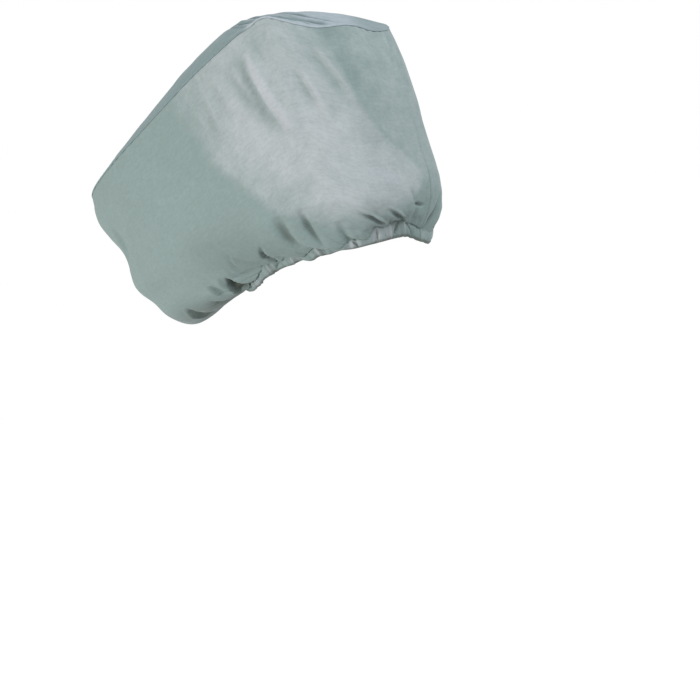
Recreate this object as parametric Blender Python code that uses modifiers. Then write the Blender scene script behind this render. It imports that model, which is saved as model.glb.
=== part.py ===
"""Fitted cloth cover for the head of an outboard motor, in the shape in which it hangs on the motor.

Metres, +Z up, bow at -X, stern at +X, starboard at +Y. The cover is two cut pieces. The wall wraps
round the motor's head and is closed by one upright seam at the stern. The top panel is sewn to the
wall's upper edge. The wall's lower edge is turned in as the casing of an elastic, which draws the
cloth in round the leg.

Both pieces start as a flat sheet of cells. A cell's place on the cloth is its share of the girth,
"around" (0 and 1 at the middle of the stern, 0.25 starboard, 0.5 bow, 0.75 port), and how far it
is down the wall or out from the middle of the top. Functions turn that into the place in which the
cloth hangs. Heights are worked out from a level just under the hem, and the pieces are then
lowered, so that the origin is where the motor's head carries the cloth, at the inner face of the
crown.
"""

from collections import namedtuple
from functools import lru_cache
from math import cos, exp, hypot, pi, sin

import bmesh
import bpy
import numpy as np
from mathutils import Vector

# The cloth and its pieces.
CLOTH = 0.0016  # thickness of the sheet
STITCH_GAP = 0.0003  # clear space between the two sewn pieces
CASING = 0.020  # height of the turned hem
CASING_LEAN = 0.007  # by which its top stands out past its edge
CASING_DEPTH = 0.006  # from the casing's outer leaf to its turned leaf
CLOSING_SEAM = 0.028  # where the wall is closed, as a share of the girth from the stern's middle

# Plan outlines: x at the bow and at the stern, half the width, and how square the ends are.
Plan = namedtuple("Plan", "bow stern half_width square")
SEAM_PLAN = Plan(bow=-0.474, stern=0.274, half_width=0.190, square=2.7)
BELLY_PLAN = Plan(bow=-0.437, stern=0.263, half_width=0.208, square=2.7)
HEM_PLAN = Plan(bow=-0.150, stern=0.206, half_width=0.142, square=3.0)
BOW_TAPER = 0.08  # share by which the bow end is narrower than the middle

# The top from bow to stern: height of its seam, how far the crown rises above that, and how much
# lower it has slipped at starboard and higher at port.
Station = namedtuple("Station", "x seam rise askew")
TOP_LINE = (
    Station(x=-0.474, seam=0.302, rise=0.020, askew=0.000),
    Station(x=-0.400, seam=0.319, rise=0.027, askew=0.001),
    Station(x=-0.300, seam=0.344, rise=0.038, askew=0.003),
    Station(x=-0.200, seam=0.375, rise=0.045, askew=0.005),
    Station(x=-0.100, seam=0.408, rise=0.051, askew=0.007),
    Station(x=0.000, seam=0.441, rise=0.057, askew=0.010),
    Station(x=0.080, seam=0.461, rise=0.059, askew=0.016),
    Station(x=0.150, seam=0.468, rise=0.037, askew=0.022),
    Station(x=0.210, seam=0.456, rise=0.014, askew=0.029),
    Station(x=0.274, seam=0.420, rise=0.006, askew=0.034),
)
CROWN_ROUND = 3.0  # how late the top falls from its crown to its edge
BELLY_HEIGHT = 0.150  # level at which the wall is widest
BOW_PUFF = 0.018  # how far the wall puffs out under the seam at the bow
STERN_PUFF = 0.007  # and at the stern
PUFF_PEAK = 6.75  # makes the puff's curve, level * (1 - level)**2, rise to 1
CARRIED = 0.42  # where the motor's head carries the top, from its middle to the stern edge

# The elastic rides up and down round the leg: height of its lower edge by share of the girth.
Ride = namedtuple("Ride", "around height")
HEM_LINE = (
    Ride(around=0.00, height=0.034),
    Ride(around=0.05, height=0.018),
    Ride(around=0.10, height=0.009),
    Ride(around=0.15, height=0.024),
    Ride(around=0.20, height=0.050),
    Ride(around=0.30, height=0.060),
    Ride(around=0.40, height=0.052),
    Ride(around=0.50, height=0.034),
    Ride(around=0.58, height=0.024),
    Ride(around=0.66, height=0.029),
    Ride(around=0.74, height=0.046),
    Ride(around=0.86, height=0.048),
    Ride(around=0.94, height=0.040),
    Ride(around=1.00, height=0.034),
)

# Under the belly: how round the cloth turns under, from 0 straight to 1 boxy, and how it sags.
TURN_BOW = 0.95
TURN_SIDE = 0.45
TURN_STERN = 0.65
BOW_SQUARE = 2.6
SIDE_SQUARE = 2.0
SIDE_BEND = 1.6
BOW_SAG = 0.044

# Long soft troughs of the wall: where they start and end, as share of the girth and level.
Fold = namedtuple("Fold", "start start_level end end_level depth width")
WALL_FOLDS = (
    Fold(start=0.826, start_level=0.00, end=0.892, end_level=0.74, depth=0.0100, width=0.022),
    Fold(start=0.901, start_level=0.20, end=0.922, end_level=0.66, depth=0.0050, width=0.019),
    Fold(start=0.922, start_level=0.15, end=0.990, end_level=0.72, depth=0.0080, width=0.021),
    Fold(start=0.784, start_level=0.00, end=0.793, end_level=0.62, depth=0.0045, width=0.021),
    Fold(start=0.812, start_level=0.04, end=0.824, end_level=0.55, depth=0.0035, width=0.019),
    Fold(start=0.640, start_level=0.05, end=0.596, end_level=0.90, depth=0.0035, width=0.030),
    Fold(start=0.420, start_level=0.10, end=0.366, end_level=0.95, depth=0.0045, width=0.028),
    Fold(start=0.290, start_level=0.00, end=0.240, end_level=0.78, depth=0.0065, width=0.025),
    Fold(start=0.196, start_level=0.02, end=0.168, end_level=0.66, depth=0.0045, width=0.022),
    Fold(start=0.110, start_level=0.08, end=0.070, end_level=0.74, depth=0.0055, width=0.023),
)
# The closing seam, then the gathers at port and stern, each from where it dies out above to where
# it meets the casing.
GATHERS = (
    Fold(start=CLOSING_SEAM, start_level=-0.5, end=CLOSING_SEAM, end_level=2.0, depth=0.003, width=0.010),
    Fold(start=0.622, start_level=1.52, end=0.600, end_level=2.0, depth=0.009, width=0.019),
    Fold(start=0.668, start_level=1.50, end=0.650, end_level=2.0, depth=0.010, width=0.017),
    Fold(start=0.712, start_level=1.46, end=0.690, end_level=2.0, depth=0.014, width=0.021),
    Fold(start=0.765, start_level=1.40, end=0.738, end_level=2.0, depth=0.007, width=0.015),
    Fold(start=0.806, start_level=1.18, end=0.782, end_level=2.0, depth=0.012, width=0.017),
    Fold(start=0.848, start_level=1.02, end=0.822, end_level=2.0, depth=0.011, width=0.019),
    Fold(start=0.874, start_level=1.05, end=0.858, end_level=2.0, depth=0.011, width=0.017),
    Fold(start=0.902, start_level=1.38, end=0.893, end_level=2.0, depth=0.008, width=0.017),
    Fold(start=0.924, start_level=1.20, end=0.932, end_level=2.0, depth=0.014, width=0.017),
    Fold(start=0.955, start_level=1.28, end=0.965, end_level=2.0, depth=0.014, width=0.017),
    Fold(start=0.990, start_level=1.15, end=0.996, end_level=2.0, depth=0.010, width=0.015),
)
# The gathers of the rest of the hem, spread unevenly from the closing seam round to the bow.
# Their places and sizes waver, each at its own pace, so that no two are alike.
FAR_GATHERS = 15
FAR_FIRST, FAR_LAST = 0.030, 0.565
FAR_START_LEVEL, FAR_DEPTH, FAR_WIDTH = 1.38, 0.0105, 0.019
Waver = namedtuple("Waver", "reach pace phase")
PLACE_WAVER = Waver(reach=0.28, pace=2.1, phase=0.0)
LEAN_WAVER = Waver(reach=0.012, pace=1.3, phase=1.0)
LEVEL_WAVER = Waver(reach=0.22, pace=1.7, phase=0.0)
DEPTH_WAVER = Waver(reach=0.35, pace=2.9, phase=0.0)
WIDTH_WAVER = Waver(reach=0.20, pace=0.9, phase=0.0)
GROWTH = 0.75  # how far through its rise and fall a gather is where it meets the casing
CASING_CREASE = 0.5  # share of a gather's depth that is left across the casing
PUFF = 0.0045  # how far the cloth stands out between the gathers
PUFF_START = 1.2  # level from which it does
# Diagonal gathers of the top panel at its port stern corner: share of the girth, and out.
TOP_FOLDS = (
    Fold(start=0.850, start_level=0.60, end=0.872, end_level=1.0, depth=0.0022, width=0.017),
    Fold(start=0.880, start_level=0.50, end=0.905, end_level=1.0, depth=0.0030, width=0.017),
    Fold(start=0.905, start_level=0.50, end=0.932, end_level=1.0, depth=0.0035, width=0.017),
    Fold(start=0.932, start_level=0.50, end=0.960, end_level=1.0, depth=0.0030, width=0.017),
    Fold(start=0.965, start_level=0.55, end=0.990, end_level=1.0, depth=0.0025, width=0.017),
    Fold(start=0.330, start_level=0.50, end=0.350, end_level=1.0, depth=0.0025, width=0.024),
    Fold(start=0.140, start_level=0.55, end=0.120, end_level=1.0, depth=0.0030, width=0.020),
)

# Slack of the cloth: low waves round the girth, which drift from one level to the next.
Wave = namedtuple("Wave", "height count phase drift")
WALL_SLACK = (
    Wave(height=0.0022, count=3, phase=1.1, drift=0.0),
    Wave(height=0.0016, count=7, phase=0.0, drift=2.5),
)
TOP_SLACK = Wave(height=0.0020, count=2, phase=0.0, drift=4.0)
WALL_FREED = 6.0  # how fast the wall's cloth, and below the top's, is freed away from its seam
TOP_FREED = 12.0

# The sheets of cells. Rows of the wall: 0 is the top seam, 1 the belly, 2 the casing's top, 3 the
# hem's edge, and past that the leaf that is turned up inside the casing.
COLUMNS = 128
WALL_ROWS = (
    0.0, 0.1, 0.26, 0.44, 0.62, 0.8, 1.0, 1.14, 1.28, 1.42, 1.56, 1.7, 1.84, 2.0, 2.45, 2.9, 3.0, 3.1, 3.5,
)
TOP_RINGS = (1.0, 0.93, 0.8, 0.62, 0.42, 0.22, 0.0)
EDGE_TURN = 0.1  # rows on either side of the hem's edge over which the cloth turns in
STEP = 0.004  # small move over the cloth, to tell which way it faces
SAMPLES = 720  # steps of the fine trace that spreads the columns evenly
GIRTH = 1.9  # about the girth of the belly, and below the drop of a level, to measure folds
DROP = 0.26
TOP_GIRTH = 1.8
TOP_REACH = 0.22

WALL_COLOUR = (0.29, 0.35, 0.335, 1.0)
TOP_COLOUR = (0.31, 0.365, 0.375, 1.0)
ROUGHNESS = 0.8


@lru_cache(maxsize=None)
def outline(plan):
    """Fine trace of a plan: x, y and the share of the girth at each sample, from the stern."""
    turn = np.linspace(0.0, 2.0 * pi, SAMPLES + 1)
    along, across = np.cos(turn), np.sin(turn)
    middle = (plan.bow + plan.stern) / 2
    reach = (plan.stern - plan.bow) / 2
    width = plan.half_width * (1 + BOW_TAPER * np.minimum(along, 0.0))
    x = middle + reach * np.sign(along) * np.abs(along) ** (2 / plan.square)
    y = width * np.sign(across) * np.abs(across) ** (2 / plan.square)
    steps = np.hypot(np.diff(x), np.diff(y))
    share = np.concatenate([[0.0], np.cumsum(steps)]) / steps.sum()
    return x, y, share


def on_plan(plan, around):
    """Point of a plan at a share of its girth."""
    x, y, share = outline(plan)
    around = around % 1.0
    return Vector((float(np.interp(around, share, x)), float(np.interp(around, share, y))))


def smooth(table, place, column, x):
    """Read a column of a table at x of its place column, on a smooth curve through its rows."""
    at = [getattr(row, place) for row in table]
    value = [getattr(row, column) for row in table]
    slope = np.gradient(value, at)
    x = min(max(x, at[0]), at[-1])
    k = min(max(int(np.searchsorted(at, x)) - 1, 0), len(at) - 2)
    span = at[k + 1] - at[k]
    t = (x - at[k]) / span
    rise = t * t * (3 - 2 * t)
    bend = t * (1 - t) ** 2 * slope[k] - t * t * (1 - t) * slope[k + 1]
    return float(value[k] + (value[k + 1] - value[k]) * rise + span * bend)


def seam_height(spot):
    """Height of the top seam over a point of the plan."""
    slip = smooth(TOP_LINE, "x", "askew", spot.x) * spot.y / SEAM_PLAN.half_width
    return smooth(TOP_LINE, "x", "seam", spot.x) - slip


def seam_point(around):
    """Point of the top seam, where the wall and the top panel meet."""
    spot = on_plan(SEAM_PLAN, around)
    return Vector((spot.x, spot.y, seam_height(spot)))


def bowness(around):
    """1 at the bow, falling to 0 at the beam."""
    return max(0.0, -cos(2 * pi * around)) ** 1.5


def sternness(around):
    """1 at the stern, falling to 0 at the beam."""
    return max(0.0, cos(2 * pi * around)) ** 1.5


def hem_facing(around):
    """Level direction out of the hem's outline."""
    run = on_plan(HEM_PLAN, around + STEP) - on_plan(HEM_PLAN, around - STEP)
    return Vector((run.y, -run.x, 0.0)).normalized()


def hem_point(around, up):
    """Point of the casing's outer leaf: up is 0 at the hem's edge and 1 at the casing's top."""
    spot = on_plan(HEM_PLAN, around)
    height = smooth(HEM_LINE, "around", "height", around % 1.0) + CASING * up
    return Vector((spot.x, spot.y, height)) + hem_facing(around) * CASING_LEAN * up


def wall_form(around, level):
    """The wall's outer face without its folds."""
    belly = on_plan(BELLY_PLAN, around)
    if level <= 1:
        top = seam_point(around)
        top.z -= CLOTH + STITCH_GAP
        side = top.xy.lerp(belly, 1 - (1 - level) ** 2)
        puff = PUFF_PEAK * level * (1 - level) ** 2
        side.x += (STERN_PUFF * sternness(around) - BOW_PUFF * bowness(around)) * puff
        return Vector((side.x, side.y, top.z + (BELLY_HEIGHT - top.z) * level))
    if level <= 2:
        hem = hem_point(around, 1)
        bow = bowness(around)
        boxy = TURN_SIDE + (TURN_BOW - TURN_SIDE) * bow
        boxy += (TURN_STERN - TURN_SIDE) * sternness(around)
        power = 2 / (SIDE_SQUARE + (BOW_SQUARE - SIDE_SQUARE) * bow)
        share = level - 1
        angle = share * pi / 2
        inward = boxy * (1 - max(0.0, cos(angle)) ** power) + (1 - boxy) * share**SIDE_BEND
        drop = boxy * sin(angle) ** power + (1 - boxy) * share
        side = belly.lerp(hem.xy, inward)
        height = BELLY_HEIGHT + (hem.z - BELLY_HEIGHT) * drop - BOW_SAG * bow * sin(share * pi)
        return Vector((side.x, side.y, height))
    return hem_point(around, abs(3 - level))


def top_form(around, out):
    """The top panel's outer face without its folds: out is 0 at its middle, 1 at its seam."""
    rim = on_plan(SEAM_PLAN, around)
    middle = (SEAM_PLAN.bow + SEAM_PLAN.stern) / 2
    spot = Vector((middle + out * (rim.x - middle), out * rim.y))
    rise = smooth(TOP_LINE, "x", "rise", spot.x) * (1 - out**CROWN_ROUND)
    return Vector((spot.x, spot.y, seam_height(spot) + rise))


def near(around, other):
    """Signed distance between two shares of the girth, the short way round."""
    return (around - other + 0.5) % 1.0 - 0.5


def trough(fold, around, level, girth, drop, grows):
    """How deep a fold is at a place of the cloth: soft across, and fading along its line.

    A fold that grows is deepest near its end, and goes on past it. Any other fades at both ends.
    """
    run = (near(fold.end, fold.start) * girth, (fold.end_level - fold.start_level) * drop)
    here = (near(around, fold.start) * girth, (level - fold.start_level) * drop)
    length = hypot(*run)
    along = (here[0] * run[0] + here[1] * run[1]) / length**2
    aside = (here[0] * run[1] - here[1] * run[0]) / length
    if along <= 0 or (along >= 1 and not grows):
        return 0.0
    fade = sin(GROWTH * pi * min(1.0, along)) if grows else sin(pi * along)
    return fold.depth * fade * exp(-((aside / fold.width) ** 2))


def wavering(waver, k):
    """A waver's value for the gather numbered k."""
    return waver.reach * sin(waver.pace * k + waver.phase)


def far_gathers():
    """The uneven gathers of the hem that the table leaves out."""
    for k in range(FAR_GATHERS):
        share = (k + 0.5 + wavering(PLACE_WAVER, k)) / FAR_GATHERS
        end = FAR_FIRST + (FAR_LAST - FAR_FIRST) * share
        yield Fold(
            start=end + wavering(LEAN_WAVER, k),
            start_level=FAR_START_LEVEL + wavering(LEVEL_WAVER, k),
            end=end,
            end_level=2.0,
            depth=FAR_DEPTH * (1 + wavering(DEPTH_WAVER, k)),
            width=FAR_WIDTH * (1 + wavering(WIDTH_WAVER, k)),
        )


ALL_GATHERS = GATHERS + tuple(far_gathers())


def ripple(wave, around, level):
    """Height of a low wave of slack cloth."""
    return wave.height * sin(2 * pi * wave.count * around + wave.phase + wave.drift * level)


def wall_relief(around, level):
    """How far the wall's cloth stands out from its form."""
    free = sin(pi * min(level, 2.0) / 2)
    slack = sum(ripple(wave, around, level) for wave in WALL_SLACK) * free
    if level <= 2:
        slack += PUFF * max(0.0, level - PUFF_START) / (2 - PUFF_START)
        slack -= sum(trough(fold, around, level, GIRTH, DROP, False) for fold in WALL_FOLDS)
        slack -= sum(trough(fold, around, level, GIRTH, DROP, True) for fold in ALL_GATHERS)
        return slack
    pull = sum(trough(fold, around, 2.0, GIRTH, DROP, True) for fold in ALL_GATHERS)
    return PUFF * abs(3 - level) - CASING_CREASE * pull


def top_relief(around, out):
    """How far the top panel's cloth stands out from its form, nothing at its seam."""
    slack = ripple(TOP_SLACK, around, out) * sin(pi * out)
    folds = sum(trough(f, around, out, TOP_GIRTH * out, TOP_REACH, True) for f in TOP_FOLDS)
    return slack - folds * min(1.0, TOP_FREED * (1 - out))


def outward(form, around, level):
    """Direction in which a piece's face points at a place of its cloth."""
    across = form(around + STEP, level) - form(around - STEP, level)
    down = form(around, min(level + STEP, 2.0)) - form(around, level - STEP)
    return across.cross(down).normalized() * -1


def wall_place(around, level):
    """Where a corner of the wall's sheet hangs."""
    facing = outward(wall_form, around, max(level, 0.01)) if level < 2 else hem_facing(around)
    freed = min(1.0, level * WALL_FREED)
    turned = min(1.0, max(0.0, (level - 3 + EDGE_TURN) / (2 * EDGE_TURN)))
    stand = wall_relief(around, level) * freed - CASING_DEPTH * turned
    return wall_form(around, level) + facing * stand


def top_place(around, out):
    """Where a corner of the top panel's sheet lies."""
    spot = top_form(around, out)
    spot.z += top_relief(around, out)
    return spot


def cloth_material(name, colour):
    """Plain woven polyester of one colour."""
    material = bpy.data.materials.new(name)
    material.use_nodes = True
    shader = material.node_tree.nodes["Principled BSDF"]
    shader.inputs["Base Color"].default_value = colour
    shader.inputs["Roughness"].default_value = ROUGHNESS
    shader.inputs["Metallic"].default_value = 0.0
    return material


def sheet(name, rows, place, colour, collection):
    """A flat sheet of cells, wrapped into a ring by place(around, row) and given its thickness."""
    form = bmesh.new()
    bmesh.ops.create_grid(form, x_segments=COLUMNS, y_segments=len(rows) - 1, size=0.5)
    for corner in form.verts:
        around = CLOSING_SEAM + (0.5 - corner.co.x)
        row = rows[round((0.5 - corner.co.y) * (len(rows) - 1))]
        corner.co = place(around, row)
    bmesh.ops.remove_doubles(form, verts=form.verts, dist=1e-5)
    mesh = bpy.data.meshes.new(name)
    form.to_mesh(mesh)
    form.free()
    mesh.materials.append(cloth_material(name, colour))
    mesh.shade_smooth()
    piece = bpy.data.objects.new(name, mesh)
    collection.objects.link(piece)
    solidify = piece.modifiers.new("Thickness", "SOLIDIFY")
    solidify.thickness = CLOTH
    solidify.offset = -1
    return piece


def main():
    """Model the cover: its wall and its top panel."""
    for old in list(bpy.data.objects):
        bpy.data.objects.remove(old)
    collection = bpy.data.collections.new("outboard_motor_cover")
    bpy.context.scene.collection.children.link(collection)
    pieces = (
        sheet("side_wall", WALL_ROWS, wall_place, WALL_COLOUR, collection),
        sheet("top_panel", TOP_RINGS, top_place, TOP_COLOUR, collection),
    )
    for piece in pieces:
        piece.location = Vector((0.0, 0.0, CLOTH)) - top_place(0.0, CARRIED)


main()
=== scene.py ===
"""Fitted cloth cover for the head of an outboard motor, finished in its cloth and shown in a studio.

Metres, +Z up, bow at -X, stern at +X, starboard at +Y, origin at the inner face of the crown. The
cover is two cut pieces of woven polyester. The wall wraps round the motor's head and is closed by
one upright seam at the stern; its lower edge is turned in as the casing of an elastic. The top
panel is sewn to the wall's upper edge.

A place on the cloth is its share of the girth, "around" (0 and 1 at the middle of the stern, 0.25
starboard, 0.5 bow, 0.75 port), and its level: on the wall 0 is the top seam, 1 the belly, 2 the
casing's top, 3 the hem's edge, and past that the leaf turned up inside. On the top panel it is how
far out the place lies, from 0 at the middle to 1 at the seam.
"""

import logging
from dataclasses import dataclass
from enum import Enum
from functools import cached_property
from math import cos, pi, radians, sin
from typing import Any, Iterable

import bpy
import numpy as np
from mathutils import Matrix, Vector


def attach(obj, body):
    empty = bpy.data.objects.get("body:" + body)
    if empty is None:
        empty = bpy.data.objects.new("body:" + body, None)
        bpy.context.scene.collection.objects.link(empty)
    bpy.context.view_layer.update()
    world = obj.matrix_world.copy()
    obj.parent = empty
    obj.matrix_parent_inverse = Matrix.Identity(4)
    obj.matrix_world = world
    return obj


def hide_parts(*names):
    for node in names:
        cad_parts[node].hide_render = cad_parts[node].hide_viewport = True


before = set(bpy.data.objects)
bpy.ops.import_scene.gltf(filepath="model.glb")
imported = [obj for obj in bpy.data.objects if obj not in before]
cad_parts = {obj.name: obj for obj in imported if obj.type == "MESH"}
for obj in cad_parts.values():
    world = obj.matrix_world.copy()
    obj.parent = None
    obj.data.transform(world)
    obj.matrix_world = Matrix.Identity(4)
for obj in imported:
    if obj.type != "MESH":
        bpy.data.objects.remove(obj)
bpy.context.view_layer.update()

Array = np.ndarray
Number = Any
Colour = tuple[float, float, float, float]
Triple = tuple[float, float, float]

CLOSING_SEAM = 0.028  # where the wall is closed, as a share of the girth from the stern's middle
QUARTER = 0.83  # middle of the port quarter, from which the shapes near it are counted

LOG = logging.getLogger("cover")


# Small helpers of shape.


def near(around: Array, other: float) -> Array:
    """Signed distance between shares of the girth, the short way round."""
    return (around - other + 0.5) % 1.0 - 0.5


def unrolled(around: Array, middle: float) -> Array:
    """Shares of the girth counted on without a break, half a turn to each side of a middle."""
    return middle + near(around, middle)


def soften(value: Array, low: float, high: float) -> Array:
    """Soft step that rises from 0 at low to 1 at high."""
    share = np.clip((value - low) / (high - low), 0.0, 1.0)
    return share * share * (3 - 2 * share)


def hump(away: Array, width: float) -> Array:
    """Smooth hump that is 1 where away is 0 and dies out past a width on either side."""
    return np.exp(-((away / width) ** 2))


def unit(vectors: Array) -> Array:
    """The same directions at length 1."""
    return vectors / np.maximum(np.linalg.norm(vectors, axis=-1, keepdims=True), 1e-12)


@dataclass(frozen=True)
class Curve:
    """Smooth curve through a short table of places and values."""

    places: tuple[float, ...]
    values: tuple[float, ...]

    def at(self, place: Array) -> Array:
        """Read the curve.

        Args:
            place: where to read it, held inside the table's ends.

        Returns:
            The value at each place.
        """
        known = np.array(self.places)
        value = np.array(self.values)
        slope = np.gradient(value, known)
        place = np.clip(place, known[0], known[-1])
        k = np.clip(np.searchsorted(known, place) - 1, 0, len(known) - 2)
        span = known[k + 1] - known[k]
        t = (place - known[k]) / span
        rise = t * t * (3 - 2 * t)
        bend = t * (1 - t) ** 2 * slope[k] - t * t * (1 - t) * slope[k + 1]
        return value[k] + (value[k + 1] - value[k]) * rise + span * bend


@dataclass(frozen=True)
class Plan:
    """Level outline: where its bow and stern are, half its width, and how square its ends are."""

    bow: float
    stern: float
    half_width: float
    square: float
    taper: float = 0.08

    @cached_property
    def trace(self) -> tuple[Array, Array, Array]:
        """Trace the outline finely, from the stern.

        Returns:
            x, y, and the share of the girth that lies behind.
        """
        turn = np.linspace(0.0, 2.0 * pi, 721)
        along, across = np.cos(turn), np.sin(turn)
        width = self.half_width * (1 + self.taper * np.minimum(along, 0.0))
        x = (self.bow + self.stern) / 2
        x = x + (self.stern - self.bow) / 2 * np.sign(along) * np.abs(along) ** (2 / self.square)
        y = width * np.sign(across) * np.abs(across) ** (2 / self.square)
        steps = np.hypot(np.diff(x), np.diff(y))
        return x, y, np.concatenate([[0.0], np.cumsum(steps)]) / steps.sum()

    def at(self, around: Array) -> Array:
        """Points of the outline, as x and y, at shares of its girth."""
        x, y, share = self.trace
        return np.stack([np.interp(around % 1.0, share, line) for line in (x, y)], axis=-1)


# The cloth's folds.


class Fall(Enum):
    """How a fold falls away on either side of its line."""

    SOFT = "soft"
    CRISP = "crisp"
    LAPPED = "lapped"


@dataclass(frozen=True)
class Fold:
    """Trough of the cloth from a start to an end, each a share of the girth and a level."""

    start: float
    start_level: float
    end: float
    end_level: float
    depth: float
    width: float
    fall: Fall = Fall.SOFT
    lap: float = 1.0  # the side that a lapped fold stands proud on: 1 to larger shares of the girth, or -1
    bend: float = 0.0  # how far its middle lies aside of the straight line
    grows: bool = False  # whether it still has depth at its end
    keeps: float = 0.75  # and how much: 1 none, 0.5 all

    def depth_at(self, around: Array, level: Array, girth: Any, drop: float) -> Array:
        """How deep the fold is at places of the cloth.

        Args:
            around: shares of the girth.
            level: levels on the piece.
            girth: metres of a whole turn there.
            drop: metres of one level.

        Returns:
            Depth in metres, below 0 where the lapped side stands proud.
        """
        run = (near(self.end, self.start) * girth, (self.end_level - self.start_level) * drop)
        here = (near(around, self.start) * girth, (level - self.start_level) * drop)
        length = np.hypot(*run)
        along = (here[0] * run[0] + here[1] * run[1]) / length**2
        aside = (here[0] * run[1] - here[1] * run[0]) / length
        held = np.clip(along, 0.0, 1.0)
        aside = (aside - self.bend * np.sin(pi * held)) / self.width
        fade = np.sin(self.keeps * pi * held) ** 0.7 if self.grows else np.sin(pi * held)
        fade = np.where(along <= 0, 0.0, fade)
        return self.depth * fade * self.across(aside)

    def across(self, aside: Array) -> Array:
        """Section of the fold.

        Args:
            aside: widths from its line, above 0 on the side of larger shares of the girth.

        Returns:
            Share of its depth, 1 on its line.
        """
        if self.fall is Fall.SOFT:
            return hump(aside, 1.0)
        if self.fall is Fall.CRISP:
            return np.exp(-1.5 * (np.sqrt(aside**2 + 0.02) - 0.14))
        steep = aside * self.lap
        return hump(steep, np.where(steep > 0, 0.42, 1.35)) - 0.45 * hump(steep - 0.95, 0.6)


@dataclass(frozen=True)
class Gather(Fold):
    """Fold that grows from nothing and runs on, still deep, into a seam or the casing."""

    grows: bool = True


@dataclass(frozen=True)
class Pocket:
    """Three-cornered hollow where the cloth tucks in under itself; a corner is around and level."""

    corners: tuple[tuple[float, float], ...]
    depth: float
    edge: float

    def share_at(self, around: Array, level: Array, girth: float, drop: float) -> Array:
        """How far inside the hollow places of the cloth lie.

        Args:
            around: shares of the girth.
            level: levels on the piece.
            girth: metres of a whole turn there.
            drop: metres of one level.

        Returns:
            0 outside, rising to 1 within its edge's width.
        """
        first, top = self.corners[0]
        spots = [(near(a, first) * girth, (b - top) * drop) for a, b in self.corners]
        here = (near(around, first) * girth, (level - top) * drop)
        inside = np.full(np.shape(here[0]), 1.0)
        for k, spot in enumerate(spots):
            run = (spots[(k + 1) % 3][0] - spot[0], spots[(k + 1) % 3][1] - spot[1])
            other = (spots[(k + 2) % 3][0] - spot[0], spots[(k + 2) % 3][1] - spot[1])
            turn = np.sign(run[0] * other[1] - run[1] * other[0]) / np.hypot(*run)
            aside = (run[0] * (here[1] - spot[1]) - run[1] * (here[0] - spot[0])) * turn
            inside = np.minimum(inside, soften(aside, -0.3 * self.edge, 0.7 * self.edge))
        return inside


@dataclass(frozen=True)
class Wrinkles:
    """Low uneven waves that slack cloth keeps: mean height, and longest and shortest wave."""

    height: float
    longest: float
    shortest: float
    seed: int
    count: int = 70
    upright: float = 1.0

    def at(self, run: Array, fall: Array, girth: float | None = None) -> Array:
        """Height of the waves.

        Args:
            run: metres along the cloth.
            fall: metres down the cloth.
            girth: length after which the waves repeat along the cloth, or None.

        Returns:
            Height in metres.
        """
        rng = np.random.default_rng(self.seed)
        size = np.exp(rng.uniform(np.log(self.shortest), np.log(self.longest), self.count))
        turn = rng.uniform(0, pi, self.count)
        phase = rng.uniform(0, 2 * pi, self.count)
        along = 2 * pi / size * np.cos(turn)
        down = 2 * pi / size * np.sin(turn) / self.upright
        if girth:
            along = np.round(along * girth / (2 * pi)) * 2 * pi / girth
        total = np.zeros(np.broadcast(run, fall).shape)
        weight = size / self.longest
        for k in range(self.count):
            total += weight[k] * np.sin(along[k] * run + down[k] * fall + phase[k])
        return self.height * total / np.sqrt((weight**2).sum() / 2)


# The form that the motor's head gives the cloth.


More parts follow.
